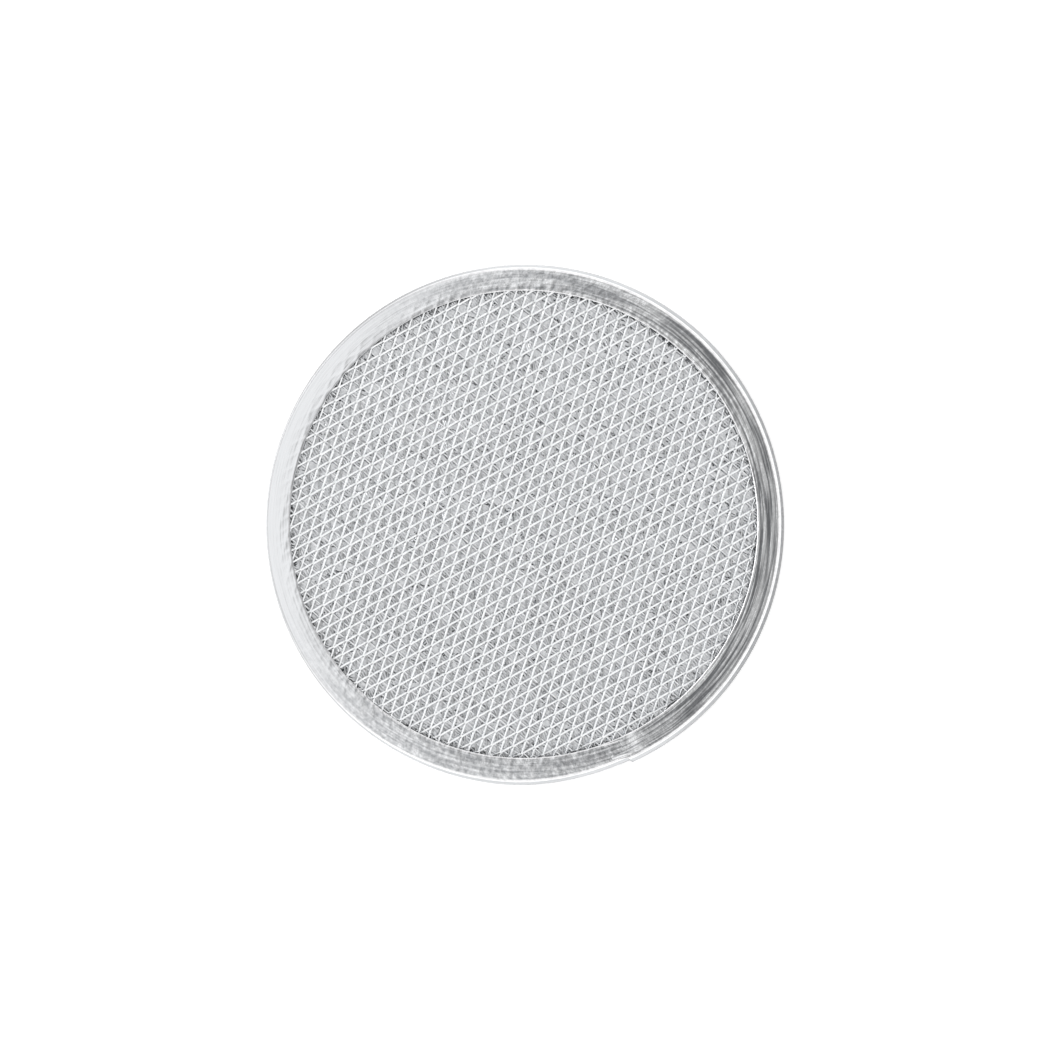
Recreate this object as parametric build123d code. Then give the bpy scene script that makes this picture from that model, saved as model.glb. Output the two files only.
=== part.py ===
from build123d import *
import math
import os

# Round washable aluminium mesh filter, in millimetres.
# The disc's axis is +Z. The origin is the centre of the rear face, and the front face looks
# along +Z. +X points right and +Y points up when the front face is looked at.

# Driving dimensions: rim
outer_diameter = 266.7
overall_thickness = 9.5
strip_thickness = 0.4
flange_width = 13.0
shoulder_radius = 3.0
lip_radius = 0.9
lap_angle = -65.5
lap_gap = 0.3
lap_length = 14.0
lap_clearance = 0.05
lap_joggle = 1.0

# Driving dimensions: expanded face screens
pad_diameter = 261.0
screen_thickness = 0.8
diamond_long_way = 13.04
diamond_short_way = 5.89
strand_width = 0.95
front_direction = 50.6
rear_direction = 116.2

# Driving dimensions: crimped foil plies
ply_count = 8
ply_clearance = 0.04
foil_thickness = 0.05
crimp_pitch = 2.6
first_ply_direction = 135.0
ply_turn = 70.0

outer_radius = outer_diameter / 2
inner_radius = outer_radius - flange_width
pad_radius = pad_diameter / 2
pad_bottom = lip_radius
pad_top = overall_thickness - lip_radius
plies_bottom = pad_bottom + screen_thickness
plies_top = pad_top - screen_thickness


def rounded_block(low_x, high_x, low_z, high_z, outer_bend, inner_bend):
    """A rectangle of the rim's cross-section, its outer and inner corners rounded."""
    corners = [(low_x, low_z), (high_x, low_z), (high_x, high_z), (low_x, high_z)]
    block = make_face(Polyline(*corners, close=True))
    block = fillet(block.vertices().sort_by(Axis.X)[-2:], outer_bend)
    if inner_bend > 0:
        block = fillet(block.vertices().sort_by(Axis.X)[:2], inner_bend)
    return block


def lipped_section():
    """The strip's U section with its two edges curled in to grip the pad."""
    outside = rounded_block(
        inner_radius, outer_radius, 0, overall_thickness, shoulder_radius, lip_radius
    )
    inside = rounded_block(
        inner_radius + strip_thickness,
        outer_radius - strip_thickness,
        strip_thickness,
        overall_thickness - strip_thickness,
        shoulder_radius - strip_thickness,
        lip_radius - strip_thickness,
    )
    mouth = Rectangle(4 * strip_thickness, pad_top - pad_bottom)
    return outside - inside - Pos(inner_radius, overall_thickness / 2) * mouth


def plain_section(inset, wall):
    """A U section without lips, set in from the outer surface by inset, wall thick."""
    edge = inner_radius + 2 * lip_radius
    outside = rounded_block(
        edge,
        outer_radius - inset,
        inset,
        overall_thickness - inset,
        shoulder_radius - inset,
        0,
    )
    depth = inset + wall
    inside = rounded_block(
        edge - wall,
        outer_radius - depth,
        depth,
        overall_thickness - depth,
        shoulder_radius - depth,
        0,
    )
    return outside - inside


def hoop_arc(section, start_angle, span):
    """A stretch of the hoop from start_angle, counter-clockwise seen from the front."""
    arc = revolve(Plane.XZ * section, Axis.Z, span)
    return Rot(0, 0, start_angle) * arc


def make_rim():
    """The hoop. The tongue at its tail end is set in and tucks under its head end."""
    degrees_per_mm = 180 / (math.pi * outer_radius)
    hoop_span = 360 - lap_gap * degrees_per_mm
    joggle_span = lap_joggle * degrees_per_mm
    tongue_span = lap_length * degrees_per_mm
    joggle_start = lap_angle + hoop_span - joggle_span
    tongue_inset = strip_thickness + lap_clearance
    hoop = hoop_arc(lipped_section(), lap_angle, hoop_span)
    joggle = hoop_arc(
        plain_section(strip_thickness / 2, tongue_inset), joggle_start, joggle_span
    )
    tongue = hoop_arc(
        plain_section(tongue_inset, strip_thickness), joggle_start, joggle_span + tongue_span
    )
    return hoop + joggle + tongue


def opening_centres():
    """Centres of the openings that lie wholly inside the disc, rows half a diamond apart."""
    row_pitch = diamond_short_way / 2
    reach = pad_radius - diamond_long_way / 2
    rows = int(pad_radius / row_pitch) + 1
    columns = int(pad_radius / diamond_long_way) + 1
    centres = []
    for row in range(-rows, rows + 1):
        shift = diamond_long_way / 2 if row % 2 else 0
        for column in range(-columns, columns + 1):
            centre = Vector(column * diamond_long_way + shift, row * row_pitch)
            if centre.length < reach:
                centres.append(centre)
    return centres


def opening(centre):
    """One opening of the screen: a rhombus drawn in by half a strand on each side."""
    half_angle = math.atan2(diamond_short_way, diamond_long_way)
    side_spacing = diamond_long_way * math.sin(half_angle)
    scale = 1 - strand_width / side_spacing
    long_half = diamond_long_way / 2 * scale
    short_half = diamond_short_way / 2 * scale
    corners = [(long_half, 0), (0, short_half), (-long_half, 0), (0, -short_half)]
    return Wire.make_polygon([centre + Vector(x, y) for x, y in corners], close=True)


def make_screen(direction, base):
    """A disc of expanded sheet with its diamonds' long way along direction."""
    openings = [opening(centre) for centre in opening_centres()]
    sheet = Face(Wire.make_circle(pad_radius), openings)
    return Pos(0, 0, base) * Rot(0, 0, direction) * extrude(sheet, screen_thickness)


def make_ply(direction, base, height):
    """One crimped foil ply: a zigzag sheet cut to a disc, its folds along direction."""
    half_folds = int(2 * pad_radius / crimp_pitch) + 2
    rise = height - foil_thickness
    under_side = []
    for fold in range(-half_folds, half_folds + 1):
        under_side.append((fold * crimp_pitch / 2, rise if fold % 2 else 0))
    upper_side = [(x, z + foil_thickness) for x, z in reversed(under_side)]
    profile = make_face(Polyline(*under_side, *upper_side, close=True))
    sheet = extrude(Plane.XZ * profile, pad_radius, both=True)
    disc = Pos(0, 0, height / 2) * Cylinder(pad_radius, 2 * height)
    return Pos(0, 0, base) * Rot(0, 0, direction - 90) * (sheet & disc)


def make_filter():
    """Every piece of the filter by name, from the front to the back."""
    pieces = {"rim_channel": make_rim()}
    pieces["front_screen"] = make_screen(front_direction, plies_top)
    ply_slot = (plies_top - plies_bottom) / ply_count
    for number in range(1, ply_count + 1):
        direction = first_ply_direction + (ply_turn if number % 2 == 0 else 0)
        base = plies_top - number * ply_slot + ply_clearance / 2
        pieces[f"foil_ply_{number}"] = make_ply(direction, base, ply_slot - ply_clearance)
    pieces["rear_screen"] = make_screen(rear_direction, pad_bottom)
    return pieces


os.makedirs("parts", exist_ok=True)
for name, piece in make_filter().items():
    piece.label = name
    export_step(piece, f"parts/{name}.step")
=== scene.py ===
import bpy
import math
import numpy as np
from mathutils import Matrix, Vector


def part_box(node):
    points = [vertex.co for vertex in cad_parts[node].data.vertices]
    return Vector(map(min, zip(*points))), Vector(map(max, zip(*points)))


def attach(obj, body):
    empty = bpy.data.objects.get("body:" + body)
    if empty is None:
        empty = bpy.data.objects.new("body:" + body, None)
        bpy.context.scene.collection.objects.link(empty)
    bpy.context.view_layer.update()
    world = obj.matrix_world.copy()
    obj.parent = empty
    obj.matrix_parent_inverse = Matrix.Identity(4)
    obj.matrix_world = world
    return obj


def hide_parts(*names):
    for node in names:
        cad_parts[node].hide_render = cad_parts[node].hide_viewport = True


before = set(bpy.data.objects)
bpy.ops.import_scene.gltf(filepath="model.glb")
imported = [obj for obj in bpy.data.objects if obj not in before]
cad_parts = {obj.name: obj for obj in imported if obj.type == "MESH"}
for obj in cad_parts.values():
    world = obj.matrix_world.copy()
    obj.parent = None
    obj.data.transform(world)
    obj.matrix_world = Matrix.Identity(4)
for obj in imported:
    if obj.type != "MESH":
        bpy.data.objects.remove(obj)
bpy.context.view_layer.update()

MM = 0.001

# The frame: the rim's box gives the disc's radius and thickness.
RIM_LOW, RIM_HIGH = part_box("rim_channel")
OUTER_R = (RIM_HIGH.x - RIM_LOW.x) / 2
THICKNESS = RIM_HIGH.z - RIM_LOW.z
FRONT_LOW, FRONT_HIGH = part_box("front_screen")
REAR_LOW, REAR_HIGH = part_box("rear_screen")

# Rim strip: lengths and angles of its cross-section, and how they change round the hoop
FLANGE_WIDTH = 14.1 * MM
BEND_R = 0.8 * MM
CHAMFER_TILT = math.radians(25)
CHAMFER_RUN = 0.8 * MM
WALL_TILT = math.radians(62)
SHOULDER_CENTRE = OUTER_R - 2.9 * MM
SHOULDER_SHIFT = 1.2 * MM
SHOULDER_LEAST = 0.35
SHOULDER_SHIFT_ANGLE = math.radians(175)
WALL_SHARES = (0.15, 0.6, 1)
WALL_CURVE = 1.2
BULGE_HALF = 0.8 * MM
OUT_OF_ROUND = 0.65 * MM
LIP_R = 0.5 * MM
LIP_LAND = 0.06 * MM
STRIP_T = 0.4 * MM
FLANGE_FALL = 0.25 * MM
INNER_R = OUTER_R - FLANGE_WIDTH
EDGE_OFFSET = 0.75 * MM
EDGE_OFFSET_ANGLE = math.radians(148)
REAR_EDGE_OFFSET_SHARE = -0.4
RIM_STEPS = 1180

# The mesh's print through the flange, which is full at the inner edge and fades outwards
PRINT_DEPTH = 0.12 * MM
PRINT_WIDTH = 0.8 * MM
PRINT_START = 1.15
PRINT_FADE = 1.7
PRINT_MEAN = 0.6
PRINT_SWING = 0.5
PRINT_PATCH = 40 * MM
PRINT_SEED = 3
FLANGE_WAVES = ((0.06 * MM, 5, 60 * MM), (0.02 * MM, 6, 14 * MM))  # height, seed, length

# How fast the side wall's painted shade and dark reflection take over below the shoulder
WALL_SHADE_RAMP = 6

# The lap, where the strip's tail end lies over its head end on the front flange
LAP_WALL_ANGLE = math.radians(-65.6)
LAP_WALL_SLANT = math.radians(0.7)
LAP_TIP_ANGLE = math.radians(-66.3)
LAP_TIP_ROUND = math.radians(3.2)
LAP_TIP_ROUND_FROM = 0.35
LAP_TIP_ZONE = math.radians(7)
LAP_TIP_SETBACK = 1.1 * MM
LAP_TAB_ANGLE = math.radians(-72.3)
LAP_TUCK_ANGLE = math.radians(-64.8)
LAP_BUTT_GAP = math.radians(0.1)
LAP_BLEND = math.radians(14)
LAP_DIP = 0.45 * MM
LAP_DIP_ANGLE = math.radians(-61.5)
LAP_DIP_BLEND = math.radians(4)
LAP_DIP_FADE = 0.5
LAP_SET_IN = 1.45 * MM
LAP_SET_IN_SPAN = math.radians(30)
LAP_TUCK_SPAN = math.radians(1.2)

# Face screens of expanded sheet. FRONT_BOW is how far the front one's rows stray at the rim, along
# x and then y, by the square of x, by x times y, and by the square of y.
LONG_WAY = 13.05 * MM
SHORT_WAY = 5.89 * MM
FRONT_TURN = math.radians(50.62)
FRONT_NODE = (2.37 * MM, -0.68 * MM)
FRONT_BOW = ((0.47 * MM, -0.30 * MM, -0.31 * MM), (0.02 * MM, 0.26 * MM, -0.43 * MM))
NO_BOW = ((0, 0, 0), (0, 0, 0))
SHEET_R = 126 * MM
SHEET_MARGIN = 1.5 * MM
SHEET_WAVE = 0.08 * MM
SHEET_WAVE_LENGTH = 50 * MM
WANDER_LENGTH = 45 * MM
BOND_BLEND = 0.4 * MM
BOND_CORNER = 0.3 * MM
STRAND_KEY = 1.5 * MM
SCREEN = {
    "width": 0.9 * MM,
    "bond_width": 0.66 * MM,
    "thickness": 0.36 * MM,
    "flat_start": -1.05 * MM,
    "flat_end": -0.45 * MM,
    "flat": math.radians(7),
    "edge_high": math.radians(7),
    "edge_low": math.radians(24),
    "lean": math.radians(40),
    "fall_lean": math.radians(30),
    "twist": math.radians(20),
}

# Expanded foil plies, the first of which shows through the front screen
PLY_LONG_WAY = 13.08 * MM
PLY_SHORT_WAY = 6.10 * MM
PLY_TURN = math.radians(116.17)
PLY_NODE = (0.02 * MM, 3.25 * MM)
PLY = {
    "width": 0.68 * MM,
    "bond_width": 0.5 * MM,
    "thickness": 0.15 * MM,
    "flat_start": -0.4 * MM,
    "flat_end": 0.4 * MM,
    "flat": math.radians(10),
    "edge_high": math.radians(10),
    "edge_low": math.radians(10),
    "lean": math.radians(22),
    "fall_lean": math.radians(12),
    "twist": math.radians(20),
}
PLY_WANDER = 0.6 * MM

# Crimped plies: fine folds with torn slits next to the expanded foil, deeper ones in the middle.
# The folds are uneven by FOLD_SWING, rise and fall by FOLD_WAVE, and stray by FAN and DRIFT.
CRIMP_R = 128 * MM
FINE_CRIMP = {"depth": 0.16 * MM, "pitch": 1.3 * MM, "step_along": 1.8 * MM, "open_share": 0.1}
DEEP_CRIMP = {"depth": 0.5 * MM, "pitch": 2.6 * MM, "step_along": 4 * MM, "open_share": 0}
CRIMP_TURNS = (math.radians(45), math.radians(115))
FOIL_T = 0.04 * MM
FOLD_SWING = 0.3
FOLD_LENGTH = 9 * MM
FOLD_WAVE = 0.14 * MM
FAN = 1.2 * MM
FAN_LENGTH = 11 * MM
FAN_SPREAD = 3
DRIFT = 1.0 * MM
DRIFT_LENGTH = 30 * MM

# Rim surface: the range along the first direction over which the far left zone (plain flange,
#  painted shade on the edges and side wall) fades out, and the ranges along x over which the
#  drawing lines and the side wall's painted shade on the +x side run from least to full
FAR_LEFT_AXIS = (1, -0.25, 0)
FAR_LEFT_RANGE = (-110 * MM, -45 * MM)
DRAWN_RANGE = (15 * MM, 85 * MM)
DRAWN_LEAST = 0.3
SHADE_RANGE = (55 * MM, 125 * MM)
STREAK_STRETCH = 0.03

# Stage
FLOOR_SIZE = 8
FLOOR_GAP = 0.02 * MM
FLOOR_GREY = 0.97
FLOOR_GLOW = 0.3
TENT_STRENGTH = 1.12
OPENING_TILT = math.radians(16)
OPENING_SIDE = -0.02
OPENING_EDGE = math.radians(25)
OPENING_CORE = math.radians(10)
OPENING_LIGHT = 0.36
KEY_SIZE = (1.2, 1.6)
KEY_POWER = 18
KEY_PLACE = (-1.5, 0.5, 1.0)
KEY_TURN = (0, math.radians(-56), math.radians(-18))
CAMERA_HEIGHT = 1.15
SENSOR_WIDTH = 36
DISC_SHARE = 0.496  # of the picture's width
SCALE_HEIGHT = 0.6  # where the disc is drawn to that scale, as a share of its thickness


def rough(x, y, seed, size):
    """Smooth repeatable unevenness, mostly within -1 to 1, at points x, y, about size across."""
    wave_count = 7
    usual_peak = 4
    total = np.zeros_like(x)
    rng = np.random.default_rng(seed)
    for _ in range(wave_count):
        turn = rng.uniform(0, 2 * math.pi)
        wave = 2 * math.pi / size * rng.uniform(0.6, 1.5)
        shift = rng.uniform(0, 2 * math.pi)
        total += np.sin(wave * (x * math.cos(turn) + y * math.sin(turn)) + shift)
    return total / usual_peak


def ease(t):
    """Smooth step from 0 to 1."""
    t = np.clip(t, 0, 1)
    return t * t * (3 - 2 * t)


def mesh_object(name, points, face_groups, material, smooth=True):
    """A mesh from points and arrays of faces, each array with its own number of corners."""
    mesh = bpy.data.meshes.new(name)
    mesh.vertices.add(len(points))
    mesh.vertices.foreach_set("co", np.asarray(points, np.float32).ravel())
    corners = np.concatenate([group.ravel() for group in face_groups]).astype(np.int32)
    sizes = np.concatenate([np.full(len(group), group.shape[1]) for group in face_groups])
    starts = np.concatenate([[0], np.cumsum(sizes)[:-1]]).astype(np.int32)
    mesh.loops.add(len(corners))
    mesh.loops.foreach_set("vertex_index", corners)
    mesh.polygons.add(len(sizes))
    mesh.polygons.foreach_set("loop_start", starts)
    mesh.polygons.foreach_set("use_smooth", np.full(len(sizes), smooth))
    mesh.update(calc_edges=True)
    mesh.validate()
    mesh.materials.append(material)
    piece = bpy.data.objects.new(name, mesh)
    bpy.context.scene.collection.objects.link(piece)
    return piece


def stand_for(piece, node):
    """The piece rides the one body and replaces a CAD node."""
    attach(piece, "root")
    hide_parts(node)


# ---------------------------------------------------------------- materials


def new_material(name, base, roughness):
    """A bare metal, whose colour and roughness the caller refines with nodes."""
    material = bpy.data.materials.new(name)
    material.use_nodes = True
    shader = material.node_tree.nodes["Principled BSDF"]
    shader.inputs["Metallic"].default_value = 1.0
    shader.inputs["Base Color"].default_value = (*base, 1)
    shader.inputs["Roughness"].default_value = roughness
    return material, material.node_tree.nodes, material.node_tree.links, shader


def polar_streaks(nodes, links, across, along):
    """Coordinates that run slowly round the disc and quickly along its radius."""
    place = nodes.new("ShaderNodeTexCoord")
    split = nodes.new("ShaderNodeSeparateXYZ")
    links.new(place.outputs["Object"], split.inputs[0])
    flat = nodes.new("ShaderNodeCombineXYZ")
    links.new(split.outputs["X"], flat.inputs["X"])
    links.new(split.outputs["Y"], flat.inputs["Y"])
    radius = nodes.new("ShaderNodeVectorMath")
    radius.operation = "LENGTH"
    links.new(flat.outputs[0], radius.inputs[0])
    depth = nodes.new("ShaderNodeMath")
    depth.operation = "ADD"
    links.new(radius.outputs["Value"], depth.inputs[0])
    links.new(split.outputs["Z"], depth.inputs[1])
    join = nodes.new("ShaderNodeCombineXYZ")
    for axis, source, scale in (
        ("X", split.outputs["X"], along),
        ("Y", split.outputs["Y"], along),
        ("Z", depth.outputs[0], across),
    ):
        stretch = nodes.new("ShaderNodeMath")
        stretch.operation = "MULTIPLY"
        stretch.inputs[1].default_value = scale
        links.new(source, stretch.inputs[0])
        links.new(stretch.outputs[0], join.inputs[axis])
    return place, join


def noise(nodes, links, vector, scale, detail, roughness):
    texture = nodes.new("ShaderNodeTexNoise")
    texture.inputs["Scale"].default_value = scale
    texture.inputs["Detail"].default_value = detail
    texture.inputs["Roughness"].default_value = roughness
    links.new(vector, texture.inputs["Vector"])
    return texture.outputs["Fac"]


def spread(nodes, links, source, low, high, from_low=0.3, from_high=0.7):
    """The range of source, by default a noise's middle, stretched to run from low to high."""
    remap = nodes.new("ShaderNodeMapRange")
    remap.inputs["From Min"].default_value = from_low
    remap.inputs["From Max"].default_value = from_high
    remap.inputs["To Min"].default_value = low
    remap.inputs["To Max"].default_value = high
    links.new(source, remap.inputs["Value"])
    return remap.outputs["Result"]


def tint(nodes, links, source, dark, light, low=0.3, high=0.7):
    """A colour that runs from dark where source is at low to light where it is at high."""
    ramp = nodes.new("ShaderNodeValToRGB")
    first, last = ramp.color_ramp.elements
    first.position, last.position = low, high
    first.color = (*dark, 1)
    last.color = (*light, 1)
    links.new(source, ramp.inputs["Fac"])
    return ramp.outputs["Color"]


def bump(nodes, links, height, distance, below=None, strength=None):
    node = nodes.new("ShaderNodeBump")
    node.inputs["Distance"].default_value = distance
    if strength is not None:
        links.new(strength, node.inputs["Strength"])
    links.new(height, node.inputs["Height"])
    if below is not None:
        links.new(below, node.inputs["Normal"])
    return node.outputs["Normal"]


def mixed(nodes, links, share, first, second):
    """The colour first where share is 0, and second where it is 1."""
    mix = nodes.new("ShaderNodeMix")
    mix.data_type = "RGBA"
    sockets = {socket.identifier: socket for socket in mix.inputs}
    links.new(share, sockets["Factor_Float"])
    links.new(first, sockets["A_Color"])
    links.new(second, sockets["B_Color"])
    return next(socket for socket in mix.outputs if socket.identifier == "Result_Color")


def rim_material():
    """Rolled strip: drawing lines round the hoop on one side, which turn into fine mottling above
    and below and give way to a plain, lighter tone on the far left, soft dents away from the far
    left, lighter edges that carry painted shade on the far left, and a side wall painted darker
    with speckled painted shade and dark reflection. The mesh's "edges" and "side" attributes
    tell those two apart from the flange."""
    material, nodes, links, shader = new_material("rim_aluminium", (0.9, 0.9, 0.905), 0.2)
    place, streaks = polar_streaks(nodes, links, 1, STREAK_STRETCH)
    surface = place.outputs["Object"]
    split = nodes.new("ShaderNodeSeparateXYZ")
    links.new(surface, split.inputs[0])
    rightward = nodes.new("ShaderNodeVectorMath")
    rightward.operation = "DOT_PRODUCT"
    rightward.inputs[1].default_value = FAR_LEFT_AXIS
    links.new(surface, rightward.inputs[0])
    not_far_left = spread(nodes, links, rightward.outputs["Value"], 0, 1, *FAR_LEFT_RANGE)
    drawn = spread(nodes, links, split.outputs["X"], DRAWN_LEAST, 1, *DRAWN_RANGE)
    in_shade = spread(nodes, links, split.outputs["X"], 0, 1, *SHADE_RANGE)
    lines = noise(nodes, links, streaks.outputs[0], scale=950, detail=2, roughness=0.5)
    mottle = noise(nodes, links, surface, scale=400, detail=4, roughness=0.6)
    scuffs = noise(nodes, links, surface, scale=1100, detail=3, roughness=0.6)
    soft = noise(nodes, links, surface, scale=190, detail=5, roughness=0.6)
    plain = tint(nodes, links, mottle, (0.74, 0.75, 0.765), (0.77, 0.78, 0.795))
    mottled = tint(nodes, links, mottle, (0.42, 0.432, 0.448), (0.86, 0.868, 0.882), 0.36, 0.64)
    lined = tint(nodes, links, lines, (0.28, 0.288, 0.3), (0.98, 0.99, 1), 0.4, 0.6)
    flat = mixed(nodes, links, not_far_left, plain, mixed(nodes, links, drawn, mottled, lined))
    # Edges are lighter than the flange, except on the far left, where painted shade dims them under
    # the key light
    far_left_edge_shade = tint(nodes, links, mottle, (0.46, 0.465, 0.475), (0.53, 0.535, 0.545))
    bright_edge = tint(nodes, links, mottle, (0.76, 0.76, 0.77), (0.95, 0.95, 0.96))
    edge_band = mixed(nodes, links, not_far_left, far_left_edge_shade, bright_edge)
    edges = nodes.new("ShaderNodeAttribute")
    edges.attribute_name = "edges"
    face = mixed(nodes, links, edges.outputs["Fac"], flat, edge_band)
    # Side wall: painted shade and dark reflection, darkest on the far left and on the +x side,
    # speckled
    far_left_wall_shade = tint(nodes, links, scuffs, (0.16, 0.16, 0.165), (0.26, 0.26, 0.265))
    mid_wall_shade = tint(nodes, links, lines, (0.44, 0.45, 0.46), (0.55, 0.56, 0.57))
    shaded = tint(nodes, links, scuffs, (0.16, 0.165, 0.17), (0.34, 0.345, 0.355), 0.35, 0.7)
    wall = mixed(nodes, links, not_far_left, far_left_wall_shade, mixed(nodes, links, in_shade, mid_wall_shade, shaded))
    side = nodes.new("ShaderNodeAttribute")
    side.attribute_name = "side"
    links.new(mixed(nodes, links, side.outputs["Fac"], face, wall), shader.inputs["Base Color"])
    links.new(spread(nodes, links, mottle, 0.1, 0.22), shader.inputs["Roughness"])
    dents = bump(nodes, links, soft, 0.25 * MM, strength=not_far_left)
    fine = bump(nodes, links, mottle, 0.05 * MM, dents, not_far_left)
    links.new(bump(nodes, links, lines, 0.2 * MM, fine, drawn), shader.inputs["Normal"])
    return material


def screen_material():
    """Bright expanded sheet: slightly clouded, with a fine grain from the stretching."""
    material, nodes, links, shader = new_material("expanded_aluminium", (0.93, 0.93, 0.93), 0.3)
    surface = nodes.new("ShaderNodeTexCoord").outputs["Object"]
    cloud = noise(nodes, links, surface, scale=320, detail=4, roughness=0.6)
    grain = noise(nodes, links, surface, scale=2400, detail=3, roughness=0.6)
    colour = tint(nodes, links, cloud, (0.865, 0.877, 0.89), (0.98, 0.987, 0.995))
    links.new(colour, shader.inputs["Base Color"])
    links.new(spread(nodes, links, grain, 0.24, 0.36), shader.inputs["Roughness"])
    links.new(bump(nodes, links, grain, 0.012 * MM), shader.inputs["Normal"])
    return material


def ply_material():
    """Light expanded foil, duller than the face sheet."""
    material, nodes, links, shader = new_material("expanded_foil", (0.88, 0.88, 0.88), 0.3)
    surface = nodes.new("ShaderNodeTexCoord").outputs["Object"]
    cloud = noise(nodes, links, surface, scale=260, detail=4, roughness=0.6)
    crinkle = noise(nodes, links, surface, scale=1300, detail=3, roughness=0.6)
    colour = tint(nodes, links, cloud, (0.595, 0.607, 0.622), (0.845, 0.853, 0.865))
    links.new(colour, shader.inputs["Base Color"])
    links.new(spread(nodes, links, crinkle, 0.24, 0.36), shader.inputs["Roughness"])
    links.new(bump(nodes, links, crinkle, 0.03 * MM), shader.inputs["Normal"])
    return material


def foil_material():
    """Crimped foil: grey, unevenly bright, and crinkled all over. The grey is partly the foil's
    dull tone and partly painted shade for the depth between the face sheets.
    """
    material, nodes, links, shader = new_material("foil_aluminium", (0.55, 0.555, 0.56), 0.22)
    surface = nodes.new("ShaderNodeTexCoord").outputs["Object"]
    cloud = noise(nodes, links, surface, scale=450, detail=4, roughness=0.6)
    crinkle = noise(nodes, links, surface, scale=850, detail=3, roughness=0.6)
    colour = tint(nodes, links, cloud, (0.445, 0.456, 0.471), (0.675, 0.683, 0.696))
    links.new(colour, shader.inputs["Base Color"])
    links.new(spread(nodes, links, cloud, 0.16, 0.28), shader.inputs["Roughness"])
    links.new(bump(nodes, links, crinkle, 0.1 * MM), shader.inputs["Normal"])
    return material


# ---------------------------------------------------------------- lattice


def bow_shift(x, y, bow):
    """How far the sheet's rows wander from straight, growing towards the rim."""
    u = x / INNER_R
    v = y / INNER_R
    terms = np.stack([u * u, u * v, v * v])
    return np.tensordot(bow[0], terms, 1), np.tensordot(bow[1], terms, 1)


def strand_ridges(x, y, turn, node, long_way, short_way, width):
    """1 over a strand and 0 between strands, for the print of the mesh through the flange."""
    px = (x - node[0]) * math.cos(turn) + (y - node[1]) * math.sin(turn)
    py = -(x - node[0]) * math.sin(turn) + (y - node[1]) * math.cos(turn)
    spacing = long_way * short_way / math.hypot(long_way, short_way)
    ridges = np.zeros_like(px)
    for side in (1, -1):
        phase = px / long_way + side * py / short_way
        away = np.abs(phase - np.round(phase)) * spacing
        ridges = np.maximum(ridges, np.exp(-((away / width) ** 2)))
    return ridges


# ---------------------------------------------------------------- rim


def rim_profile(lip_steps, flange_steps, bend_steps):
    """The strip's outer skin from the front lip to the bulge of the side wall. Each row is the
    share of the way from inner edge to shoulder, the share of the way from shoulder to bulge, the
    offset outwards, the height, and the outward normal."""
    rows = []
    for step in range(lip_steps):
        a = math.pi / 2 * step / (lip_steps - 1)
        height = THICKNESS - LIP_R + LIP_R * math.sin(a)
        rows.append((0, 0, LIP_R - LIP_R * math.cos(a), height, -math.cos(a), math.sin(a)))
    rows.append((0, 0, LIP_R + LIP_LAND, THICKNESS, 0, 1))
    for step in range(1, flange_steps + 1):
        s = step / (flange_steps + 1)
        rows.append((s, 0, (1 - s) * LIP_R, THICKNESS - FLANGE_FALL * s * s, 0, 1))
    # the shoulder: a bend, a chamfer and a second bend down to the wall
    offset, height = 0, THICKNESS - FLANGE_FALL
    for first, last in ((0, CHAMFER_TILT), (CHAMFER_TILT, WALL_TILT)):
        for step in range(bend_steps):
            a = first + (last - first) * step / (bend_steps - 1)
            out = offset + BEND_R * (math.sin(a) - math.sin(first))
            down = BEND_R * (math.cos(first) - math.cos(a))
            rows.append((1, 0, out, height - down, math.sin(a), math.cos(a)))
        offset = out + CHAMFER_RUN
        height -= down + CHAMFER_RUN * math.tan(CHAMFER_TILT)
    end_offset, end_height = rows[-1][2], rows[-1][3]
    bulge_height = THICKNESS / 2 + BULGE_HALF
    for share in WALL_SHARES:
        a = WALL_TILT + (math.pi / 2 - WALL_TILT) * share
        height = end_height + (bulge_height - end_height) * share**WALL_CURVE
        rows.append((1, share, end_offset * (1 - share), height, math.sin(a), math.cos(a)))
    return np.array(rows)


def mirrored(rows):
    """The same rows on the rear half, from the bulge to the lip."""
    rear = rows[::-1].copy()
    rear[:, 3] = THICKNESS - rear[:, 3]
    rear[:, 5] = -rear[:, 5]
    return rear


def rim_loop():
    """The strip's whole cross-section: its outer skin from front to rear, and its inner skin back."""
    front = rim_profile(lip_steps=5, flange_steps=16, bend_steps=4)
    rear = mirrored(rim_profile(lip_steps=4, flange_steps=8, bend_steps=3))
    outer = np.vstack([front, rear])
    coarse = rim_profile(lip_steps=3, flange_steps=3, bend_steps=2)
    inner = np.vstack([coarse, mirrored(coarse)])[::-1].copy()
    inner[:, 2] -= inner[:, 4] * STRIP_T
    inner[:, 3] -= inner[:, 5] * STRIP_T
    return np.vstack([outer, inner])


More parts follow.
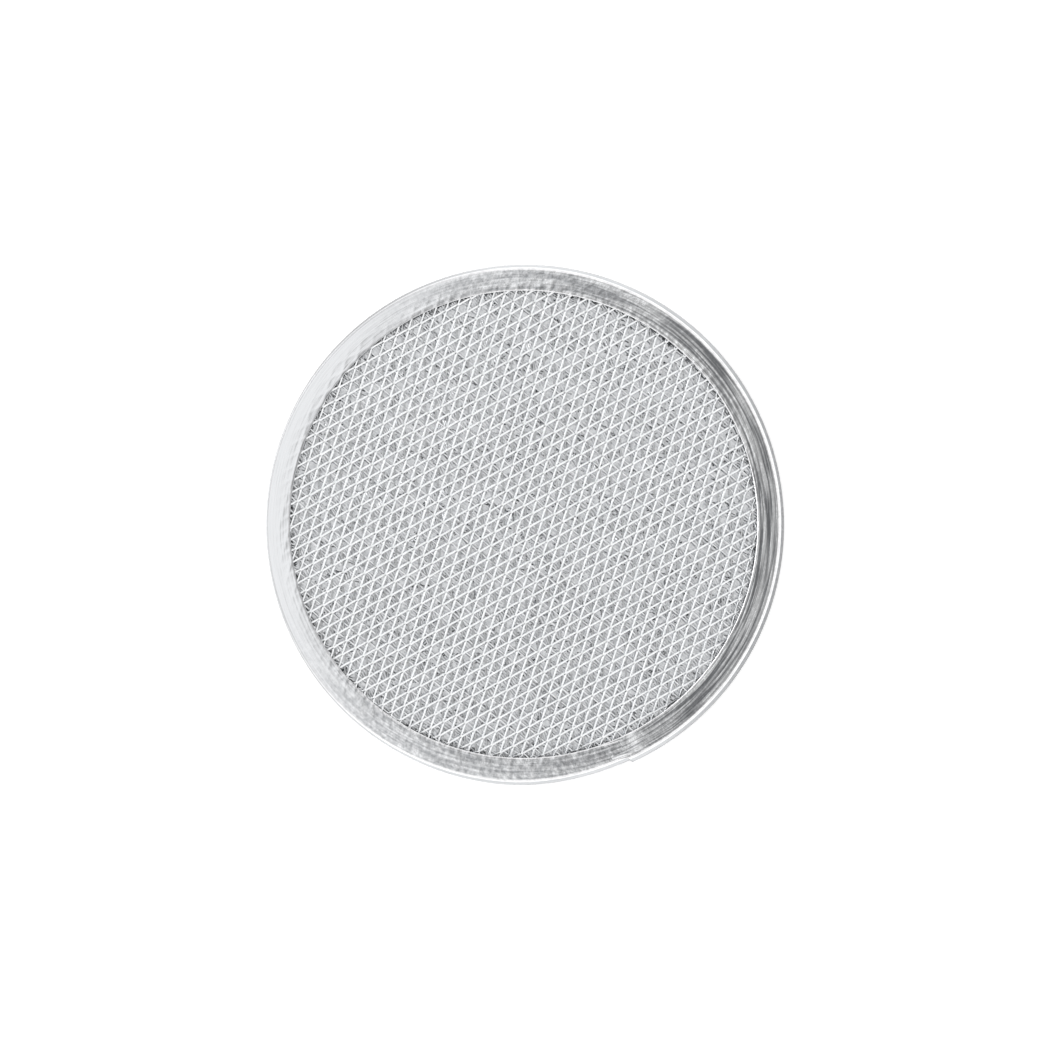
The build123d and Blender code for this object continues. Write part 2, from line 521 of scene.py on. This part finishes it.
def rim_angles(share, reach, is_front):
    """Where each row of the cross-section stands at each step round the hoop. All rows share the
    same steps, except near the ends, which are shaped: the head end has a tab that lies under
    the tail's rounded tip, and the tail's wall tucks in behind the head's."""
    on_flange = share < 1
    wall_start = LAP_WALL_ANGLE - LAP_WALL_SLANT * (1 - reach)
    start = np.where(is_front & on_flange, LAP_TAB_ANGLE, wall_start)
    start = np.where(is_front, start, LAP_WALL_ANGLE)
    tip_round = np.clip((share - LAP_TIP_ROUND_FROM) / LAP_TIP_ROUND_FROM, 0, 1)
    end = np.where(on_flange, LAP_TIP_ANGLE - LAP_TIP_ROUND * tip_round**2, LAP_TUCK_ANGLE)
    end = np.where(is_front | (share == 1), end, LAP_WALL_ANGLE - LAP_BUTT_GAP)
    base = LAP_WALL_ANGLE + 2 * math.pi * np.linspace(0, 1, RIM_STEPS)[:, None]
    from_start = base - LAP_WALL_ANGLE
    near_start = ease(1 - from_start / LAP_BLEND)
    near_end = ease(1 - (2 * math.pi - from_start) / LAP_BLEND)
    return base + (start - LAP_WALL_ANGLE) * near_start + (end - LAP_WALL_ANGLE) * near_end


def make_rim(material):
    """The rim as one strip swept round the hoop, with its ends lapped."""
    loop = rim_loop()
    share, reach, offset, height = loop[:, 0], loop[:, 1], loop[:, 2], loop[:, 3]
    is_front = height > THICKNESS / 2
    on_flange = share < 1
    angle = rim_angles(share, reach, is_front)
    to_end = LAP_TIP_ANGLE + 2 * math.pi - angle
    set_in = LAP_SET_IN * ease(1 - to_end / LAP_SET_IN_SPAN)
    under_tail = ease((LAP_WALL_ANGLE - angle) / LAP_TUCK_SPAN) * is_front
    set_in = np.where(angle > math.pi, set_in, LAP_SET_IN * under_tail)
    shoulder = SHOULDER_CENTRE + SHOULDER_SHIFT * np.cos(angle - SHOULDER_SHIFT_ANGLE)
    edge_share = np.where(is_front, 1, REAR_EDGE_OFFSET_SHARE)
    edge = INNER_R + EDGE_OFFSET * np.cos(angle - EDGE_OFFSET_ANGLE) * edge_share
    edge = edge + LAP_TIP_SETBACK * (ease(1 - to_end / LAP_TIP_ZONE) * is_front)
    bulge = OUTER_R - OUT_OF_ROUND * np.cos(angle) ** 4
    wall = (1 - reach) * shoulder + reach * bulge - set_in
    breadth = SHOULDER_LEAST + (1 - SHOULDER_LEAST) * (0.5 + 0.5 * np.cos(angle))
    r = (1 - share) * edge + share * wall + offset * np.where(share == 1, breadth, 1)
    z = np.broadcast_to(height, r.shape).copy()
    x = r * np.cos(angle)
    y = r * np.sin(angle)
    # the mesh under the flange prints through it, most near the inner edge
    mask = np.clip(PRINT_START - share * PRINT_FADE, 0, 1) * on_flange
    print_front = strand_ridges(x, y, FRONT_TURN, FRONT_NODE, LONG_WAY, SHORT_WAY, PRINT_WIDTH)
    print_rear = strand_ridges(x, y, PLY_TURN, PLY_NODE, LONG_WAY, SHORT_WAY, PRINT_WIDTH)
    lift = PRINT_DEPTH * mask * np.where(is_front, print_front, -print_rear)
    lift = lift * (PRINT_MEAN + PRINT_SWING * rough(x, y, PRINT_SEED, PRINT_PATCH))
    waves = sum(wave * rough(x, y, seed, length) for wave, seed, length in FLANGE_WAVES)
    lift = lift + waves * np.where(on_flange, 1 - share, 0) * np.where(is_front, 1, -1)
    head_dip = ease((LAP_DIP_ANGLE - angle) / LAP_DIP_BLEND) * is_front * on_flange
    z = np.maximum(z + lift - LAP_DIP * head_dip * (1 - LAP_DIP_FADE * share), 0)
    points = np.stack([x, y, z], -1).reshape(-1, 3)
    n = len(loop)
    i = np.arange(RIM_STEPS - 1)[:, None]
    j = np.arange(n)[None, :]
    k = (j + 1) % n
    quads = np.stack([i * n + j, (i + 1) * n + j, (i + 1) * n + k, i * n + k], -1).reshape(-1, 4)
    ring = np.arange(n)
    caps = np.stack([ring, (RIM_STEPS - 1) * n + ring[::-1]])
    piece = mesh_object("rim_strip", points, [quads, caps], material)
    # How much of the side wall's painted shade each row takes, and which rows are the edges
    on_wall = np.minimum(reach * WALL_SHADE_RAMP, 1)
    edge_band = np.where((reach == 0) & ((share == 0) | (share == 1)), 1, 0)
    for label, values in (("side", on_wall), ("edges", edge_band)):
        attribute = piece.data.attributes.new(label, "FLOAT", "POINT")
        attribute.data.foreach_set("value", np.tile(values, RIM_STEPS).astype(np.float32))
    stand_for(piece, "rim_channel")


# ---------------------------------------------------------------- expanded sheet


def ribbon_template(long_way, sheet):
    """One period of a strand ribbon, from bond to bond and back. Each row is the place along
    the long way, the share of the climb to the next bond row, the ribbon's width, and how far
    the lower and upper half of its face lean."""
    half = long_way / 2
    flat_start, flat_end = sheet["flat_start"], sheet["flat_end"]
    flat, edge_high, edge_low = sheet["flat"], sheet["edge_high"], sheet["edge_low"]
    lean, fall_lean = sheet["lean"], sheet["fall_lean"]
    narrow, wide = sheet["bond_width"], sheet["width"]
    rising = [
        (flat_end, narrow, flat, edge_high),
        (flat_end + BOND_BLEND, wide, lean, sheet["twist"]),
        (STRAND_KEY, wide, lean, lean),
        (half + flat_start - BOND_BLEND, wide, lean, lean),
        (half + flat_start, narrow, edge_low, flat),
    ]
    falling = [
        (flat_end, narrow, edge_low, flat),
        (flat_end + BOND_BLEND, wide, fall_lean, fall_lean),
        (STRAND_KEY, wide, fall_lean, fall_lean),
        (half + flat_start - BOND_BLEND, wide, fall_lean, fall_lean),
        (half + flat_start, narrow, flat, edge_high),
    ]
    rows = []
    for strand, start in ((rising, 0), (falling, half)):
        for place, width, lean_low, lean_high in strand:
            climb = min(max((place - BOND_CORNER) / (half - 2 * BOND_CORNER), 0), 1)
            level = climb if strand is rising else 1 - climb
            rows.append((start + place, level, width, lean_low, lean_high))
    return np.array(rows)


def expanded_sheet(name, material, sheet, turn, node, long_way, short_way, z_mid, radius, bow,
                   wander=0.0, seed=1, face_up=1):
    """A disc of raised expanded sheet, one closed ribbon for each row of strands."""
    template = ribbon_template(long_way, sheet)
    thickness = sheet["thickness"]
    row_pitch = short_way / 2
    reach = int(radius / row_pitch) + 2
    all_points = []
    quads = []
    triangles = []
    base = 0
    cos_t, sin_t = math.cos(turn), math.sin(turn)
    node_u = node[0] * cos_t + node[1] * sin_t
    node_v = -node[0] * sin_t + node[1] * cos_t
    aside = sheet["bond_width"] / 2 * math.cos(sheet["flat"])
    rise = sheet["bond_width"] / 2 * math.sin(sheet["flat"])
    for row in range(-reach, reach + 1):
        v_low = node_v + row * row_pitch
        middle = v_low + row_pitch / 2
        if abs(middle) > radius - SHEET_MARGIN:
            continue
        chord = math.sqrt(radius**2 - middle**2)
        shift = node_u + (long_way / 2 if row % 2 else 0)
        first = -int((chord + shift) / long_way) - 2
        last = int((chord - shift) / long_way) + 3
        rows = np.tile(template, (last - first, 1))
        rows[:, 0] += shift + np.repeat(np.arange(first, last), len(template)) * long_way
        rows = rows[np.abs(rows[:, 0]) < chord]
        count = len(rows)
        if count < 4:
            continue
        u, level, width, lean_low, lean_high = rows.T
        v = v_low + aside + (row_pitch - 2 * aside) * level
        z = rise * (1 - 2 * level)
        du, dv = np.gradient(u), np.gradient(v)
        flat = np.stack([-dv, du, np.zeros_like(du)], -1)
        flat /= np.linalg.norm(flat, axis=1)[:, None]
        up = np.array([0, 0, 1.0])
        crest = np.stack([u, v, z + thickness / 2], -1)
        half_w = (width / 2)[:, None]
        edges = []
        for lean, side in ((lean_low, -1), (lean_high, 1)):
            sin_l, cos_l = np.sin(lean)[:, None], np.cos(lean)[:, None]
            top = crest + side * half_w * (flat * cos_l + up * sin_l)
            edges.append((top, top - thickness * (up * cos_l - flat * sin_l)))
        ring = np.stack([edges[0][1], edges[1][1], edges[1][0], crest, edges[0][0]], 1)
        x = ring[..., 0] * cos_t - ring[..., 1] * sin_t
        y = ring[..., 0] * sin_t + ring[..., 1] * cos_t
        bow_x, bow_y = bow_shift(x, y, bow)
        if wander:
            bow_x = bow_x + wander * rough(x, y, seed, WANDER_LENGTH)
            bow_y = bow_y + wander * rough(x, y, seed + 1, WANDER_LENGTH)
        lift = SHEET_WAVE * rough(x, y, seed + 2, SHEET_WAVE_LENGTH)
        points = np.stack([x + bow_x, y + bow_y, ring[..., 2] * face_up + z_mid + lift], -1)
        all_points.append(points.reshape(-1, 3))
        # the sides of the ribbon, whose cross-section has five corners, and its two ends
        here = 5 * np.arange(count - 1)[:, None]
        j = np.arange(5)[None, :]
        k = (j + 1) % 5
        sides = np.stack([here + j, here + k, here + 5 + k, here + 5 + j], -1)
        quads.append(sides.reshape(-1, 4) + base)
        end = (count - 1) * 5
        quads.append(np.array([[3, 2, 1, 0], [end, end + 1, end + 2, end + 3]]) + base)
        triangles.append(np.array([[4, 3, 0], [end + 4, end, end + 3]]) + base)
        base += count * 5
    groups = [np.vstack(quads), np.vstack(triangles)]
    if face_up < 0:
        groups = [group[:, ::-1] for group in groups]
    return mesh_object(name, np.vstack(all_points), groups, material, smooth=False)


# ---------------------------------------------------------------- crimped plies


def crimped_ply(name, material, turn, z_mid, depth, pitch, radius, seed, step_along, open_share):
    """A thin closed sheet crimped into uneven folds that fan and wander, with torn slits."""
    folds = int(radius / pitch) + 1
    across = np.arange(-2 * folds, 2 * folds + 1) * pitch / 2
    along = np.arange(-radius, radius + step_along, step_along)
    s, t = np.meshgrid(across, along, indexing="ij")
    inside = np.hypot(s, t) < radius
    odd = (np.arange(len(across)) % 2)[:, None] * 2.0 - 1
    z = odd * depth / 2 * (1 + FOLD_SWING * rough(s, t, seed, FOLD_LENGTH))
    fan = FAN * rough(s / FAN_SPREAD, t, seed + 1, FAN_LENGTH)
    drift = DRIFT * rough(s, t, seed + 2, DRIFT_LENGTH)
    strayed = s + (fan + drift)
    x = strayed * math.cos(turn) - t * math.sin(turn)
    y = strayed * math.sin(turn) + t * math.cos(turn)
    z = z + z_mid + FOLD_WAVE * rough(s, t, seed + 3, FOLD_LENGTH)
    rows, columns = s.shape
    index = np.arange(rows * columns).reshape(rows, columns)
    whole = inside[:-1, :-1] & inside[1:, :-1] & inside[1:, 1:] & inside[:-1, 1:]
    whole &= np.random.default_rng(seed + 4).random(whole.shape) >= open_share
    a, b = index[:-1, :-1][whole], index[1:, :-1][whole]
    c, d = index[1:, 1:][whole], index[:-1, 1:][whole]
    top = np.stack([a, b, c, d], -1)
    used, packed = np.unique(top, return_inverse=True)
    top = packed.reshape(-1, 4)
    points = np.stack([x.ravel(), y.ravel(), z.ravel()], -1)[used]
    under = points - np.array([0, 0, FOIL_T])
    count = len(points)
    faces = [top, top[:, ::-1] + count]
    edges = np.vstack([top[:, [0, 1]], top[:, [1, 2]], top[:, [2, 3]], top[:, [3, 0]]])
    key = np.sort(edges, 1)
    _, first, times = np.unique(key, axis=0, return_index=True, return_counts=True)
    border = edges[first[times == 1]]
    near, far = border[:, 0], border[:, 1]
    faces.append(np.stack([far, near, near + count, far + count], -1))
    return mesh_object(name, np.vstack([points, under]), faces, material, smooth=False)


# ---------------------------------------------------------------- stage


def make_floor():
    """A plain pale floor, just under the disc."""
    material = bpy.data.materials.new("pale_floor")
    material.use_nodes = True
    shader = material.node_tree.nodes["Principled BSDF"]
    shader.inputs["Base Color"].default_value = (FLOOR_GREY, FLOOR_GREY, FLOOR_GREY, 1)
    shader.inputs["Roughness"].default_value = 0.9
    shader.inputs["Specular IOR Level"].default_value = 0.1
    shader.inputs["Emission Color"].default_value = (1, 1, 1, 1)
    shader.inputs["Emission Strength"].default_value = FLOOR_GLOW
    bpy.ops.mesh.primitive_plane_add(size=FLOOR_SIZE, location=(0, 0, RIM_LOW.z - FLOOR_GAP))
    floor = bpy.context.object
    floor.name = "floor"
    floor.data.materials.append(material)


def make_world():
    """A white tent, with its dark opening overhead to the right."""
    world = bpy.data.worlds.new("tent")
    bpy.context.scene.world = world
    world.use_nodes = True
    nodes, links = world.node_tree.nodes, world.node_tree.links
    background = nodes["Background"]
    place = nodes.new("ShaderNodeTexCoord")
    dot = nodes.new("ShaderNodeVectorMath")
    dot.operation = "DOT_PRODUCT"
    dot.inputs[1].default_value = (math.sin(OPENING_TILT), OPENING_SIDE, math.cos(OPENING_TILT))
    links.new(place.outputs["Generated"], dot.inputs[0])
    opening = nodes.new("ShaderNodeMapRange")
    opening.interpolation_type = "SMOOTHSTEP"
    opening.inputs["From Min"].default_value = math.cos(OPENING_EDGE)
    opening.inputs["From Max"].default_value = math.cos(OPENING_CORE)
    opening.inputs["To Min"].default_value = 1
    opening.inputs["To Max"].default_value = OPENING_LIGHT
    links.new(dot.outputs["Value"], opening.inputs["Value"])
    links.new(opening.outputs["Result"], background.inputs["Color"])
    background.inputs["Strength"].default_value = TENT_STRENGTH


def make_light():
    """A large soft key light from the left."""
    data = bpy.data.lights.new("key", "AREA")
    data.shape = "RECTANGLE"
    data.size, data.size_y = KEY_SIZE
    data.energy = KEY_POWER
    light = bpy.data.objects.new("key", data)
    light.location = KEY_PLACE
    light.rotation_euler = KEY_TURN
    bpy.context.scene.collection.objects.link(light)


def make_camera():
    """A camera straight above the disc, which fills about half of the picture's width."""
    data = bpy.data.cameras.new("camera")
    data.sensor_width = SENSOR_WIDTH
    frame_width = 2 * OUTER_R / DISC_SHARE
    data.lens = SENSOR_WIDTH * (CAMERA_HEIGHT - THICKNESS * SCALE_HEIGHT) / frame_width
    camera = bpy.data.objects.new("camera", data)
    camera.location = (0, 0, CAMERA_HEIGHT)
    bpy.context.scene.collection.objects.link(camera)
    bpy.context.scene.camera = camera
    data.dof.use_dof = False


def make_screens(material):
    """The front and rear face sheets, each with its raised side outwards."""
    front = expanded_sheet(
        "front_mesh", material, SCREEN, FRONT_TURN, FRONT_NODE, LONG_WAY, SHORT_WAY,
        (FRONT_LOW.z + FRONT_HIGH.z) / 2, SHEET_R, FRONT_BOW, seed=11,
    )
    stand_for(front, "front_screen")
    rear = expanded_sheet(
        "rear_mesh", material, SCREEN, PLY_TURN, PLY_NODE, LONG_WAY, SHORT_WAY,
        (REAR_LOW.z + REAR_HIGH.z) / 2, SHEET_R, NO_BOW, seed=21, face_up=-1,
    )
    stand_for(rear, "rear_screen")


def make_plies(ply_metal, foil_metal):
    """Expanded foil behind each face sheet, and crimped foil between the two."""
    expanded = {1: (PLY_TURN, PLY_NODE, 1), 8: (FRONT_TURN, FRONT_NODE, -1)}
    for number in range(1, 9):
        node = f"foil_ply_{number}"
        name = f"ply_{number}"
        low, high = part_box(node)
        middle = (low.z + high.z) / 2
        if number in expanded:
            turn, spot, face_up = expanded[number]
            piece = expanded_sheet(
                name, ply_metal, PLY, turn, spot, PLY_LONG_WAY, PLY_SHORT_WAY, middle, SHEET_R,
                NO_BOW, wander=PLY_WANDER, seed=30 + number, face_up=face_up,
            )
        else:
            crimp = FINE_CRIMP if number in (2, 7) else DEEP_CRIMP
            piece = crimped_ply(
                name, foil_metal, CRIMP_TURNS[number % 2], middle,
                radius=CRIMP_R, seed=40 + number * 5, **crimp,
            )
        stand_for(piece, node)


bpy.context.scene.view_settings.view_transform = "Standard"
make_camera()
make_floor()
make_world()
make_light()
rim_metal = rim_material()
screen_metal = screen_material()
ply_metal = ply_material()
foil_metal = foil_material()
make_rim(rim_metal)
make_screens(screen_metal)
make_plies(ply_metal, foil_metal)
bpy.context.view_layer.update()
